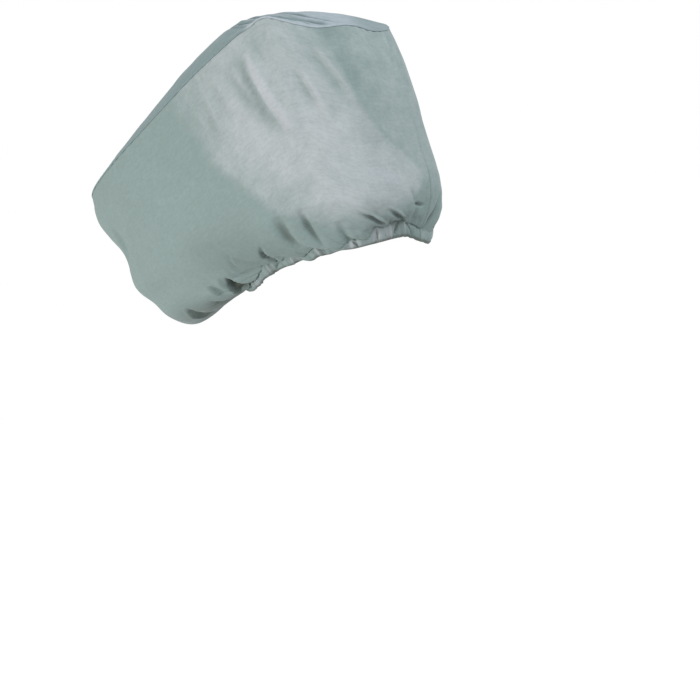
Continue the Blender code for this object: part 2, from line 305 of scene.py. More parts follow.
@dataclass(frozen=True)
class CoverForm:
    """The cover without its folds, in the frame of its own plans."""

    seam: Plan = Plan(bow=-0.474, stern=0.274, half_width=0.190, square=2.7)
    belly: Plan = Plan(bow=-0.437, stern=0.263, half_width=0.208, square=2.7)
    hem: Plan = Plan(bow=-0.150, stern=0.206, half_width=0.142, square=3.0)
    origin: Triple = (0.05708, 0.0, 0.5128164)
    cloth: float = 0.0016
    stitch_gap: float = 0.0003
    casing: float = 0.020  # height of the turned hem
    casing_lean: float = 0.007  # by which its top stands out past its edge
    casing_depth: float = 0.006  # from its outer leaf to its turned leaf
    crown_round: float = 3.0  # how late the top falls from its crown to its edge
    belly_height: float = 0.150  # level at which the wall is widest
    bow_puff: float = 0.018  # how far the wall puffs out under the seam at the bow
    stern_puff: float = 0.011  # and at the stern
    turn_bow: float = 0.95  # how full the wall is where it turns in under the belly, at the bow
    turn_side: float = 0.45  # at the sides
    turn_stern: float = 0.65  # and at the stern
    bow_square: float = 2.6  # how square that turn is at the bow
    side_square: float = 2.0  # and elsewhere
    side_bend: float = 1.6  # how late the slack part of the turn goes in
    bow_sag: float = 0.044  # how far the cloth sags under the bow
    step: float = 0.004  # of girth or level, over which a direction is measured

    # The top from bow to stern: height of its seam, how far the crown rises above that, and how
    # much lower it has slipped at starboard and higher at port.
    stations: tuple[float, ...] = (-0.474, -0.4, -0.3, -0.2, -0.1, 0.0, 0.08, 0.15, 0.21, 0.274)
    seam_heights: tuple[float, ...] = (0.306, 0.324, 0.347, 0.375, 0.408, 0.441, 0.461, 0.468, 0.456, 0.420)
    rises: tuple[float, ...] = (0.022, 0.034, 0.048, 0.057, 0.060, 0.057, 0.053, 0.031, 0.005, 0.0)
    slips: tuple[float, ...] = (0.000, 0.001, 0.003, 0.005, 0.007, 0.010, 0.016, 0.022, 0.029, 0.034)

    # Height of the hem's edge round the girth, and how far the gathers lift the top seam.
    ride: Curve = Curve(
        (0.0, 0.05, 0.10, 0.15, 0.20, 0.30, 0.40, 0.50, 0.58, 0.66, 0.74, 0.86, 0.94, 1.0),
        (0.034, 0.018, 0.009, 0.024, 0.050, 0.060, 0.052, 0.034, 0.024, 0.029, 0.046, 0.048, 0.040, 0.034),
    )
    stir: Curve = Curve(
        (0.60, 0.66, 0.74, 0.80, 0.84, 0.87, 0.884, 0.894, 0.903, 0.915, 0.930, 0.945, 0.960,
         0.976, 0.990, 1.005, 1.04, 1.09, 1.14, 1.20, 1.28, 1.36, 1.44, 1.52, 1.60),
        (0.0, 0.002, -0.002, -0.005, -0.006, 0.0, 0.004, 0.011, 0.012, 0.004, -0.003, -0.004, 0.002,
         0.007, 0.005, -0.002, -0.004, -0.009, -0.008, -0.003, 0.003, -0.002, 0.003, -0.002, 0.0),
    )

    def seam_height(self, x: Array, y: Array) -> Array:
        """Height of the top seam over points of the plan."""
        slip = Curve(self.stations, self.slips).at(x) * y / self.seam.half_width
        return Curve(self.stations, self.seam_heights).at(x) - slip

    def seam_stir(self, around: Array) -> Array:
        """How far the gathers of the top seam lift it."""
        return self.stir.at(unrolled(around, 1.1))

    def bowness(self, around: Array) -> Array:
        """1 at the bow, falling to 0 at the beam."""
        return np.maximum(0.0, -np.cos(2 * pi * around)) ** 1.5

    def sternness(self, around: Array) -> Array:
        """1 at the stern, falling to 0 at the beam."""
        return np.maximum(0.0, np.cos(2 * pi * around)) ** 1.5

    def hem_facing(self, around: Array) -> Array:
        """Level direction out of the hem's outline."""
        run = self.hem.at(around + self.step) - self.hem.at(around - self.step)
        return unit(np.stack([run[..., 1], -run[..., 0], 0 * run[..., 0]], axis=-1))

    def hem_point(self, around: Array, up: Array) -> Array:
        """Points of the casing's outer leaf.

        Args:
            around: shares of the girth.
            up: 0 at the hem's edge and 1 at the casing's top.

        Returns:
            Points, with x, y and z last.
        """
        spot = self.hem.at(around)
        height = self.ride.at(around % 1.0) + self.casing * up
        lean = self.hem_facing(around) * (self.casing_lean * up)[..., None]
        return np.concatenate([spot, height[..., None]], axis=-1) + lean

    def wall(self, around: Array, level: Array) -> Array:
        """The wall's outer face.

        Args:
            around: shares of the girth.
            level: levels on the wall.

        Returns:
            Points, with x, y and z last.
        """
        bow, stern = self.bowness(around), self.sternness(around)
        belly, spot = self.belly.at(around), self.seam.at(around)
        top = self.seam_height(spot[..., 0], spot[..., 1]) - self.cloth - self.stitch_gap
        high = np.clip(level, 0.0, 1.0)
        side = spot + (belly - spot) * (1 - (1 - high) ** 2)[..., None]
        puff = 6.75 * high * (1 - high) ** 2
        side[..., 0] += (self.stern_puff * stern - self.bow_puff * bow) * puff
        height = top + (self.belly_height - top) * high
        upper = np.concatenate([side, height[..., None]], axis=-1)

        hem = self.hem_point(around, np.ones_like(level))
        share = np.clip(level - 1, 0.0, 1.0)
        angle = share * pi / 2
        boxy = self.turn_side + (self.turn_bow - self.turn_side) * bow
        boxy = boxy + (self.turn_stern - self.turn_side) * stern
        power = 2 / (self.side_square + (self.bow_square - self.side_square) * bow)
        inward = boxy * (1 - np.maximum(0.0, np.cos(angle)) ** power) + (1 - boxy) * share**self.side_bend
        drop = boxy * np.sin(angle) ** power + (1 - boxy) * share
        side = belly + (hem[..., :2] - belly) * inward[..., None]
        height = self.belly_height + (hem[..., 2] - self.belly_height) * drop
        height = height - self.bow_sag * bow * np.sin(share * pi)
        lower = np.concatenate([side, height[..., None]], axis=-1)

        casing = self.hem_point(around, np.abs(3 - level))
        level = level[..., None]
        return np.where(level <= 1, upper, np.where(level <= 2, lower, casing))

    def top(self, around: Array, out: Array) -> Array:
        """The top panel's outer face.

        Args:
            around: shares of the girth.
            out: 0 at the panel's middle and 1 at its seam.

        Returns:
            Points, with x, y and z last.
        """
        rim = self.seam.at(around)
        middle = (self.seam.bow + self.seam.stern) / 2
        x = middle + out * (rim[..., 0] - middle)
        y = out * rim[..., 1]
        rise = Curve(self.stations, self.rises).at(x) * (1 - out**self.crown_round)
        return np.stack([x, y, self.seam_height(x, y) + rise], axis=-1)

    def wall_facing(self, around: Array, level: Array) -> Array:
        """Direction in which the wall's outer face points.

        Args:
            around: shares of the girth.
            level: levels on the wall.

        Returns:
            Directions, with x, y and z last.
        """
        at = np.maximum(level, 0.01)
        across = self.wall(around + self.step, at) - self.wall(around - self.step, at)
        down = self.wall(around, np.minimum(at + self.step, 2.0)) - self.wall(around, at - self.step)
        facing = unit(-np.cross(across, down))
        return np.where((level < 2)[..., None], facing, self.hem_facing(around))


# Node work: sums written as expressions, and one method for every other node.


class NodeBoard:
    """The nodes of one finish, each added by one method and its sums written as expressions."""

    def __init__(self, name: str) -> None:
        """Start a material with its own shader.

        Args:
            name: the material's name.
        """
        self.material = bpy.data.materials.new(name)
        self.material.use_nodes = True
        self.tree = self.material.node_tree
        self.shader = self.tree.nodes["Principled BSDF"]

    def node(
        self, kind: str, settings: dict[str, Any] | None = None, sockets: dict[Any, Any] | None = None
    ) -> Any:
        """Add a node.

        Args:
            kind: the node's type.
            settings: its settings, set before its sockets.
            sockets: values or links of its sockets, by name or number.

        Returns:
            The node.
        """
        node = self.tree.nodes.new(kind)
        for name, setting in (settings or {}).items():
            setattr(node, name, setting)
        for name, value in (sockets or {}).items():
            self.feed(node.inputs[name], value)
        return node

    def feed(self, socket: Any, value: Any) -> None:
        """Link a socket, or set its value.

        Args:
            socket: the socket.
            value: a reading, another node's socket, or a constant.
        """
        if isinstance(value, Reading):
            self.tree.links.new(value.socket, socket)
        elif isinstance(value, bpy.types.NodeSocket):
            self.tree.links.new(value, socket)
        else:
            socket.default_value = value

    def finish(self, **looks: Any) -> None:
        """Give the shader's sockets their links and values, with _ for a space in their names."""
        for name, value in looks.items():
            self.feed(self.shader.inputs[name.replace("_", " ")], value)

    def bumped(self, height: Any, strength: float) -> Any:
        """Normal of a surface raised by a height in metres."""
        sockets = {"Height": height, "Distance": 1.0, "Strength": strength}
        return self.node("ShaderNodeBump", {}, sockets).outputs[0]

    def sum(self, operation: str, *terms: Any) -> "Reading":
        """Add a Math node on its terms."""
        node = self.node("ShaderNodeMath", {"operation": operation}, dict(enumerate(terms)))
        return Reading(self, node.outputs[0])

    def attribute(self, name: str) -> "Reading":
        """Read one of the piece's own attributes as a number."""
        node = self.node("ShaderNodeAttribute", {"attribute_name": name})
        return Reading(self, node.outputs["Fac"])

    def stretched(self, along: float = 1.0, down: float = 1.0) -> Any:
        """The piece's cloth coordinates, in metres along and down it, each times a scale."""
        laid = self.node("ShaderNodeUVMap", {"uv_map": "Cloth"}).outputs[0]
        return self.node("ShaderNodeMapping", {}, {"Vector": laid, "Scale": (along, down, 1.0)}).outputs[0]

    def noise(self, place: Any, scale: float, detail: float = 2.0, rough: float = 0.5) -> "Reading":
        """Cloudy unevenness, about 0.5 on the whole."""
        sockets = {"Vector": place, "Scale": scale, "Detail": detail, "Roughness": rough}
        return Reading(self, self.node("ShaderNodeTexNoise", {}, sockets).outputs[0])

    def blend(self, share: Any, first: Any, second: Any, way: str = "MIX") -> Any:
        """Colour between two colours, by a share."""
        settings = {"data_type": "RGBA", "blend_type": way}
        return self.node("ShaderNodeMix", settings, {0: share, 6: first, 7: second}).outputs[2]


class Reading:
    """A number that varies over a surface. Sums on it add their Math nodes."""

    def __init__(self, board: NodeBoard, socket: Any) -> None:
        """Wrap a socket of a board."""
        self.board = board
        self.socket = socket

    def __add__(self, other: Number) -> "Reading":
        """Sum with a number or a reading."""
        return self.board.sum("ADD", self, other)

    def __radd__(self, other: Number) -> "Reading":
        """Sum, the number first."""
        return self.board.sum("ADD", other, self)

    def __sub__(self, other: Number) -> "Reading":
        """Difference from a number or a reading."""
        return self.board.sum("SUBTRACT", self, other)

    def __rsub__(self, other: Number) -> "Reading":
        """Difference, the number first."""
        return self.board.sum("SUBTRACT", other, self)

    def __mul__(self, other: Number) -> "Reading":
        """Product with a number or a reading."""
        return self.board.sum("MULTIPLY", self, other)

    def __rmul__(self, other: Number) -> "Reading":
        """Product, the number first."""
        return self.board.sum("MULTIPLY", other, self)

    def wave(self) -> "Reading":
        """Sine of the reading."""
        return self.board.sum("SINE", self)

    def held(self) -> "Reading":
        """The reading held between 0 and 1."""
        return Reading(self.board, self.board.node("ShaderNodeClamp", {}, {0: self}).outputs[0])

    def between(self, low: float, high: float) -> "Reading":
        """Soft step of the reading.

        Args:
            low: where the step is 0.
            high: where it is 1.

        Returns:
            The step.
        """
        sockets = {"Value": self, "From Min": low, "From Max": high}
        node = self.board.node("ShaderNodeMapRange", {"interpolation_type": "SMOOTHSTEP"}, sockets)
        return Reading(self.board, node.outputs[0])


@dataclass(frozen=True)
class WovenCloth:
    """Woven polyester: its own colour, a lighter copy painted as light, a dark colour painted as shade, and
    its weave.
    """

    # The cloth's own colour, a lighter copy of it painted where light falls, and a dark colour painted as
    # shade in folds, hollows and undersides.
    base_tone: Colour
    painted_lit_tone: Colour
    deep: Colour
    sheen: Colour = (0.75, 0.82, 0.85, 1.0)
    thread: float = 0.0011
    weave_height: float = 0.00007
    slub_height: float = 0.00012
    patch_height: float = 0.0006
    roughness: float = 0.78

    def material(self, name: str) -> bpy.types.Material:
        """Make the cloth's material.

        Args:
            name: the material's name.

        Returns:
            The material.
        """
        board = NodeBoard(name)
        laid = board.stretched()
        # Painted light and painted shade, each read from an attribute of the piece.
        painted_light, fold = board.attribute("painted_light"), board.attribute("fold")
        clouds = board.noise(laid, 9.0, 3.0, 0.55)
        patches = board.noise(laid, 34.0, 3.0, 0.6)
        slubs = board.noise(board.stretched(48.0, 560.0), 1.0, 2.0, 0.6)
        bars = board.noise(board.stretched(74.0, 160.0), 1.0, 3.0, 0.70)
        flecks = board.noise(board.stretched(150.0, 200.0), 1.0, 2.0, 0.7)
        picks = board.noise(board.stretched(620.0, 34.0), 1.0, 2.0, 0.6)

        # Painted light: the lighter copy is mixed in by the painted-light attribute, broken up by clouds.
        lit_share = (painted_light + (clouds - 0.5) * 0.40 + (patches - 0.5) * 0.40).between(0.02, 1.05)
        colour = board.blend(lit_share, self.base_tone, self.painted_lit_tone)
        shares = ((clouds, 0.10), (patches, 0.14), (slubs, 0.16), (picks, 0.12), (bars, 0.30), (flecks, 0.22))
        uneven = 1.0
        for noise, share in shares:
            uneven = uneven + (noise - 0.5) * share
        tone = board.node("ShaderNodeCombineColor", {}, {0: uneven, 1: uneven, 2: uneven}).outputs[0]
        colour = board.blend(1.0, colour, tone, "MULTIPLY")
        # Painted shade: the dark colour is mixed in where the fold attribute marks shade.
        colour = board.blend((fold * (0.75 + 0.5 * patches)).held(), colour, self.deep)

        height = self.weave(board) * self.weave_height + slubs * self.slub_height
        height = height + picks * (0.6 * self.slub_height) + patches * self.patch_height
        board.finish(
            Base_Color=colour,
            Roughness=self.roughness + (patches - 0.5) * 0.14 - slubs * 0.05,
            Normal=board.bumped(height, 0.9),
            Specular_IOR_Level=0.28,
            Sheen_Weight=0.12,
            Sheen_Roughness=0.5,
            Sheen_Tint=self.sheen,
        )
        return board.material

    def weave(self, board: NodeBoard) -> Reading:
        """Height of the plain weave.

        Args:
            board: the nodes of the cloth's finish.

        Returns:
            Its height, from 0 where a thread runs under to 1 where it runs over.
        """
        parts = board.node("ShaderNodeSeparateXYZ", {}, {0: board.stretched()})
        warp, weft = ((Reading(board, parts.outputs[k]) * (pi / self.thread)).wave() for k in (0, 1))
        return warp * weft * 0.5 + 0.5


@dataclass(frozen=True)
class SewingThread:
    """Bonded polyester thread, twisted, a little lighter than the cloth."""

    colour: Colour = (0.40, 0.45, 0.44, 1.0)
    shade: Colour = (0.24, 0.28, 0.27, 1.0)

    def material(self, name: str) -> bpy.types.Material:
        """Make the thread's material.

        Args:
            name: the material's name.

        Returns:
            The material.
        """
        board = NodeBoard(name)
        spots = board.noise(board.node("ShaderNodeTexCoord").outputs["Object"], 900.0)
        colour = board.blend(spots, self.shade, self.colour)
        board.finish(Base_Color=colour, Roughness=0.6, Normal=board.bumped(spots * 0.0001, 0.6))
        return board.material


# The pieces.


@dataclass
class Sheet:
    """A sheet of cells in rows round the cover, with what each cell is like."""

    name: str
    places: Array
    cloth: Array
    marks: dict[str, Array]

    def lay(self, thickness: float, centre_shared: bool = False) -> bpy.types.Object:
        """Make the sheet a mesh with its thickness behind it.

        Args:
            thickness: of the cloth.
            centre_shared: whether the last row is one point.

        Returns:
            The piece.
        """
        rows, columns = self.places.shape[:2]
        closed = columns - 1
        number = np.arange(rows * closed).reshape(rows, closed)
        if centre_shared:
            number[-1] = number[-1, 0]
        corner = np.concatenate([number, number[:, :1]], axis=1)
        cell = np.arange(rows * columns).reshape(rows, columns)
        faces, cells = (
            np.stack([grid[:-1, :-1], grid[1:, :-1], grid[1:, 1:], grid[:-1, 1:]], axis=-1).reshape(-1, 4)
            for grid in (corner, cell)
        )
        kept = [len(set(face)) == 4 for face in faces.tolist()]
        rings = [face if whole else (face[0], face[1], face[3]) for face, whole in zip(faces.tolist(), kept)]
        laid = [ring if whole else (ring[0], ring[1], ring[3]) for ring, whole in zip(cells.tolist(), kept)]
        used = number.max() + 1
        mesh = bpy.data.meshes.new(self.name)
        mesh.from_pydata(self.places[:, :-1].reshape(-1, 3)[:used].tolist(), [], rings)
        flat = mesh.uv_layers.new(name="Cloth")
        spots = self.cloth.reshape(-1, 2)[np.array([c for ring in laid for c in ring])]
        flat.data.foreach_set("uv", spots.astype(np.float32).ravel())
        for name, mark in self.marks.items():
            layer = mesh.attributes.new(name, "FLOAT", "POINT")
            layer.data.foreach_set("value", mark[:, :-1].reshape(-1)[:used].astype(np.float32))
        mesh.shade_smooth()
        piece = bpy.data.objects.new(self.name, mesh)
        bpy.context.scene.collection.objects.link(piece)
        solidify = piece.modifiers.new("Thickness", "SOLIDIFY")
        solidify.thickness = thickness
        solidify.offset = -1
        apply_modifiers(piece)
        return piece


def choose(piece: bpy.types.Object) -> None:
    """Deselect everything, then select one piece and make it active.

    Args:
        piece: the piece.
    """
    bpy.ops.object.select_all(action="DESELECT")
    piece.select_set(True)
    bpy.context.view_layer.objects.active = piece


def apply_modifiers(piece: bpy.types.Object) -> None:
    """Apply every modifier of a piece.

    Args:
        piece: the piece.
    """
    choose(piece)
    for modifier in list(piece.modifiers):
        bpy.ops.object.modifier_apply(modifier=modifier.name)


def facings(places: Array) -> Array:
    """Outward directions of a ring of rows, from its own cells.

    Args:
        places: points in rows, the last of each row the same as its first.

    Returns:
        The directions.
    """
    ring = places[:, :-1]
    across = np.roll(ring, -1, axis=1) - np.roll(ring, 1, axis=1)
    down = np.gradient(ring, axis=0)
    facing = unit(-np.cross(across, down))
    return np.concatenate([facing, facing[:, :1]], axis=1)


def lengths(places: Array, axis: int) -> Array:
    """Distance along the cloth from the first cell.

    Args:
        places: points in rows.
        axis: 0 to measure down the columns, 1 along the rows.

    Returns:
        Metres from the first cell.
    """
    steps = np.linalg.norm(np.diff(places, axis=axis), axis=-1)
    start = np.zeros_like(np.take(steps, [0], axis=axis))
    return np.concatenate([start, np.cumsum(steps, axis=axis)], axis=axis)


@dataclass(frozen=True)
class Pinch:
    """Place where the elastic bunches the casing: the height of its ruffles, and how far it is lifted."""

    around: float
    ruffle: float
    lift: float = 0.0


@dataclass
class Wall:
    """The wall: one cut piece round the head, with its folds, gathers and hem casing."""

    form: CoverForm
    columns: int = 400
    thickness: float = 0.0007
    girth: float = 1.9  # round the belly
    hem_girth: float = 1.05  # round the gathered hem
    drop: float = 0.26  # from one level to the next, below the belly
    upper_drop: float = 0.29  # and above it
    seam_lap: float = 0.0115  # by which one end of the cloth laps over the other at the closing seam
    groove_away: float = 0.0015  # from that seam to the groove beside it
    stitch_level: float = 2.13
    casing_round: float = 0.0012  # how far the casing swells between its edges
    stitch_draw: float = 0.0014  # how far its stitches draw it in
    far_gathers: int = 15
    small_gathers: int = 58
    flat: tuple[float, float] = (1.95, 0.56)
    flat_area: float = 0.97
    # The cloth's own colour, a lighter copy painted as light on the port quarter, and a dark colour painted
    # as shade.
    finish: WovenCloth = WovenCloth(
        base_tone=(0.160, 0.213, 0.205, 1.0), painted_lit_tone=(0.318, 0.338, 0.350, 1.0), deep=(0.046, 0.058, 0.046, 1.0)
    )

    # Long folds that hang from the top seam.
    folds: tuple[Fold, ...] = (
        Fold(0.860, 0.02, 0.886, 0.66, 0.0095, 0.018, Fall.LAPPED, bend=-0.016),
        Fold(0.842, 0.04, 0.860, 0.42, 0.0040, 0.013, Fall.LAPPED, bend=-0.008),
        Fold(0.906, 0.22, 0.921, 0.58, 0.0052, 0.012, Fall.LAPPED),
        Fold(0.924, 0.10, 0.956, 0.60, 0.0056, 0.014, Fall.LAPPED, bend=0.003),
        Fold(0.950, 0.16, 0.972, 0.52, 0.0035, 0.016),
        Fold(0.782, 0.00, 0.795, 0.50, 0.0026, 0.013, Fall.LAPPED),
        Fold(0.800, 0.04, 0.810, 0.50, 0.0030, 0.012, Fall.LAPPED),
        Fold(0.818, 0.02, 0.830, 0.42, 0.0026, 0.011, Fall.LAPPED),
        Fold(0.604, 0.46, 0.594, 0.92, 0.0060, 0.0090, Fall.LAPPED, -1.0),
        Fold(0.878, 0.02, 0.886, 0.26, 0.0040, 0.011, Fall.CRISP),
        Fold(0.871, 0.00, 0.867, 0.12, 0.0035, 0.006, Fall.CRISP),
        Fold(0.898, 0.00, 0.892, 0.15, 0.0038, 0.006, Fall.LAPPED),
        Fold(0.640, 0.05, 0.596, 0.90, 0.0035, 0.030),
        Fold(0.420, 0.10, 0.366, 0.95, 0.0045, 0.028),
        Fold(0.290, 0.00, 0.240, 0.78, 0.0065, 0.025, Fall.LAPPED, -1.0),
        Fold(0.196, 0.02, 0.168, 0.66, 0.0045, 0.022),
        Fold(0.110, 0.08, 0.070, 0.74, 0.0055, 0.023, Fall.LAPPED, -1.0),
    )

    # Gathers that run down into the casing, short tucks beside them, and a pocket at the bow.
    gathers: tuple[Fold, ...] = (
        Gather(0.704, 1.58, 0.648, 2.0, 0.0060, 0.0100, Fall.LAPPED, -1.0, keeps=0.85),
        Gather(0.758, 1.26, 0.738, 1.98, 0.004, 0.0090),
        Gather(0.800, 1.42, 0.740, 2.0, 0.013, 0.0038, Fall.CRISP, keeps=0.74),
        Gather(0.845, 0.94, 0.822, 1.86, 0.011, 0.013, bend=0.004, keeps=1.0),
        Gather(0.870, 1.02, 0.853, 1.88, 0.011, 0.009, Fall.CRISP, bend=0.004, keeps=1.0),
        Gather(0.899, 1.44, 0.885, 2.0, 0.007, 0.010),
        Gather(0.934, 1.30, 0.962, 2.0, 0.003, 0.020, keeps=0.85),
    )
    tucks: tuple[Fold, ...] = (
        Fold(0.684, 1.56, 0.662, 1.80, 0.008, 0.0065, Fall.LAPPED, -1.0),
        Fold(0.656, 1.66, 0.610, 1.94, 0.006, 0.0080, Fall.CRISP),
        Fold(0.632, 1.54, 0.578, 1.82, 0.009, 0.0080, Fall.LAPPED, -1.0),
        Fold(0.756, 1.36, 0.716, 1.80, 0.0035, 0.0050, Fall.LAPPED),
        Fold(0.732, 1.50, 0.698, 1.84, 0.0030, 0.0050, Fall.LAPPED),
        Fold(0.924, 1.38, 0.951, 1.92, 0.0085, 0.0068, Fall.LAPPED, bend=0.004),
        Fold(0.956, 1.46, 0.992, 2.00, 0.0100, 0.0074, Fall.LAPPED, bend=0.005),
        Fold(0.994, 1.24, 0.999, 1.50, 0.0035, 0.0045, Fall.CRISP),
        Fold(0.000, 1.50, 0.020, 1.57, 0.0090, 0.0060, Fall.CRISP, bend=-0.003),
        Fold(1.006, 1.56, 1.004, 2.00, 0.0050, 0.0070, Fall.CRISP),
    )
    pocket: Pocket = Pocket(((0.706, 1.630), (0.644, 1.935), (0.651, 2.07)), 0.012, 0.004)

    # Sharp creases across the casing.
    slits: tuple[Fold, ...] = (
        Fold(0.740, 1.95, 0.712, 3.05, 0.0055, 0.0026, Fall.CRISP),
        Fold(0.930, 2.05, 0.928, 3.05, 0.0040, 0.0022, Fall.CRISP),
        Fold(0.984, 1.98, 0.962, 2.95, 0.0050, 0.0024, Fall.CRISP),
        Fold(0.998, 1.98, 1.014, 2.95, 0.0050, 0.0024, Fall.CRISP),
        Fold(0.944, 2.30, 0.949, 3.00, 0.0030, 0.0022, Fall.CRISP),
        Fold(0.884, 2.00, 0.894, 3.00, 0.0040, 0.0024, Fall.CRISP),
        Fold(0.832, 2.00, 0.838, 3.00, 0.0040, 0.0024, Fall.CRISP),
        Fold(0.776, 2.00, 0.786, 3.00, 0.0040, 0.0026, Fall.CRISP),
    )

    # How far the cloth stands out down the bow, and how far the casing's top and edge are lifted.
    bow_fit: Curve = Curve(
        (0.0, 0.15, 0.30, 0.55, 0.75, 0.95, 1.10, 1.28, 1.45, 1.62, 1.80, 2.0, 3.0),
        (0.0, 0.003, 0.006, 0.000, -0.005, -0.003, 0.001, -0.010, -0.002, 0.008, 0.008, 0.002, 0.0),
    )
    casing_top: Curve = Curve(
        (0.36, 0.42, 0.48, 0.54, 0.58, 0.61, 0.64, 0.66, 0.69, 0.705, 0.72, 0.748, 0.768, 0.785, 0.80,
         0.825, 0.845, 0.865, 0.885, 0.905, 0.915, 0.927, 0.945, 0.960, 0.980, 0.995, 1.010, 1.03, 1.10),
        (0.0, 0.004, 0.008, 0.010, 0.005, 0.002, 0.002, 0.004, 0.011, 0.020, 0.013, 0.004, 0.010, -0.002,
         -0.004, 0.005, -0.006, -0.010, -0.002, -0.005, -0.004, 0.012, 0.008, 0.012, 0.014, 0.009, 0.005,
         -0.002, 0.0),
    )
    casing_edge: Curve = Curve(
        (0.36, 0.40, 0.44, 0.48, 0.52, 0.56, 0.60, 0.64, 0.66, 0.68, 0.70, 0.72, 0.74, 0.76, 0.78,
         0.80, 0.82, 0.84, 0.86, 0.88, 0.92, 1.00, 1.02, 1.04, 1.07, 1.10),
        (0.0, 0.008, 0.013, 0.016, 0.022, 0.019, 0.010, 0.010, 0.013, 0.016, 0.013, 0.012, 0.010, 0.007,
         0.008, 0.001, 0.004, 0.002, 0.003, 0.0, 0.0, 0.0, -0.003, -0.007, -0.004, 0.0),
    )

    # Edges of the painted light on the port quarter, towards the bow and towards the stern, down the levels.
    lit_edge_bowward: Curve = Curve(
        (0.0, 0.25, 0.40, 0.55, 0.75, 0.90, 1.05, 1.30, 1.60),
        (0.766, 0.771, 0.784, 0.787, 0.812, 0.832, 0.850, 0.868, 0.885),
    )
    lit_edge_sternward: Curve = Curve(
        (0.0, 0.30, 0.45, 0.60, 0.75, 0.90, 1.10, 1.35, 1.60),
        (0.950, 0.957, 0.961, 0.970, 0.984, 1.006, 1.022, 1.010, 0.980),
    )

    # Where the elastic bunches the casing, and the waves of the slack cloth.
    pinches: tuple[Pinch, ...] = (
        Pinch(0.604, 0.0022),
        Pinch(0.655, 0.0024),
        Pinch(0.708, 0.0036),
        Pinch(0.768, 0.0036),
        Pinch(0.826, 0.0032),
        Pinch(0.886, 0.0028),
        Pinch(0.930, 0.0036),
        Pinch(0.957, 0.0022),
        Pinch(0.990, 0.0030),
    )
    slack: tuple[Wrinkles, ...] = (
        Wrinkles(0.0011, 0.34, 0.11, 3, upright=1.6),
        Wrinkles(0.0004, 0.090, 0.030, 11, upright=1.5),
    )

    @cached_property
    def around(self) -> Array:
        """Place the columns, closer together at port and stern.

        Returns:
            Their shares of the girth, from the closing seam once round.
        """
        fine = np.linspace(0.0, 1.0, 2001)
        here = (fine + CLOSING_SEAM) % 1.0
        density = 0.45 + 1.15 * soften(np.abs(near(here, QUARTER)), 0.30, 0.20)
        share = np.concatenate([[0.0], np.cumsum((density[1:] + density[:-1]) / 2)])
        return CLOSING_SEAM + np.interp(np.linspace(0, share[-1], self.columns + 1), share, fine)

    @cached_property
    def levels(self) -> Array:
        """Place the rows, closer together at the seam, the gathers and the hem.

        Returns:
            Their levels.
        """
        seam = [0.0, 0.005, 0.012, 0.022, 0.034, 0.048, 0.064, 0.082]
        casing = [2.06, 2.13, 2.22, 2.35, 2.5, 2.65, 2.8, 2.9, 2.96, 3.0, 3.05, 3.12, 3.28, 3.5]
        return np.concatenate([seam, np.linspace(0.10, 1.0, 38), np.linspace(1.0, 2.0, 60)[1:], casing])

    @cached_property
    def spread(self) -> tuple[list[Fold], list[Pinch]]:
        """Spread uneven gathers over the rest of the hem, and small ones all round, no two alike.

        Returns:
            The gathers, and the pinches where the larger ones end.
        """
        folds, pinches = [], []
        for k in range(self.far_gathers):
            share = (k + 0.5 + 0.28 * sin(2.1 * k)) / self.far_gathers
            end = 0.030 + 0.535 * share
            fall = (Fall.SOFT, Fall.CRISP, Fall.LAPPED)[(k * 5 + 1) % 3]
            depth = 0.0105 * (1 + 0.35 * sin(2.9 * k))
            width = 0.017 * (1 + 0.20 * sin(0.9 * k))
            start = end + 0.012 * sin(1.3 * k + 1.0)
            level = 1.38 + 0.22 * sin(1.7 * k)
            folds.append(Gather(start, level, end, 2.0, depth, width, fall, (-1.0) ** k))
            pinches.append(Pinch(end, 0.0026 + 0.0008 * sin(2.3 * k), 0.005 + 0.003 * sin(3.3 * k)))
        for k in range(self.small_gathers):
            end = (k + 0.5 + 0.35 * sin(4.7 * k)) / self.small_gathers
            level = 1.74 + 0.12 * sin(2.6 * k + 0.5)
            depth = 0.0026 * (1 + 0.5 * sin(3.7 * k))
            start = end + 0.004 * sin(5.1 * k)
            folds.append(Gather(start, level, end, 2.0, depth, 0.0065, Fall.CRISP))
        return folds, pinches

    def gathered(self, around: Array, level: Array) -> Array:
        """Depth of all the gathers.

        Args:
            around: shares of the girth.
            level: levels on the wall.

        Returns:
            Depth in metres.
        """
        held = np.minimum(level, 2.0)
        folds = list(self.gathers) + list(self.tucks) + self.spread[0]
        hollow = self.pocket.depth * self.pocket.share_at(around, held, self.girth, self.drop)
        return hollow + sum(fold.depth_at(around, held, self.girth, self.drop) for fold in folds)

    def folded(self, around: Array, level: Array) -> Array:
        """Depth of the long folds at places of the wall."""
        held = np.minimum(level, 2.0)
        return sum(fold.depth_at(around, held, self.girth, self.drop) for fold in self.folds)

    def relief(self, around: Array, level: Array, gathers: Array) -> Array:
        """How far the cloth stands out from its form, without its finest marks.

        Args:
            around: shares of the girth.
            level: levels on the wall.
            gathers: depth of the gathers there.

        Returns:
            Metres, outwards.
        """
        free = np.sin(pi * np.minimum(level, 2.0) / 2)
        waves = 0.0022 * np.sin(6 * pi * around + 1.1) + 0.0016 * np.sin(14 * pi * around + 2.5 * level)
        body = waves * free + 0.0045 * np.maximum(0.0, level - 1.2) / 0.8
        body = body + self.bow_fit.at(level) * soften(np.abs(near(around, 0.59)), 0.11, 0.04)
        body = body - self.folded(around, level) - gathers
        casing = 0.0030 * np.abs(3 - level) - 0.45 * np.clip(gathers, -0.004, 0.010)
        drawn = -0.0065 * hump(near(around, 0.068), 0.030) * soften(level, 1.55, 2.0)
        body, casing = body + drawn, casing + drawn
        freed = np.minimum(1.0, level * 6.0)
        return np.where(level <= 2, body, casing) * freed

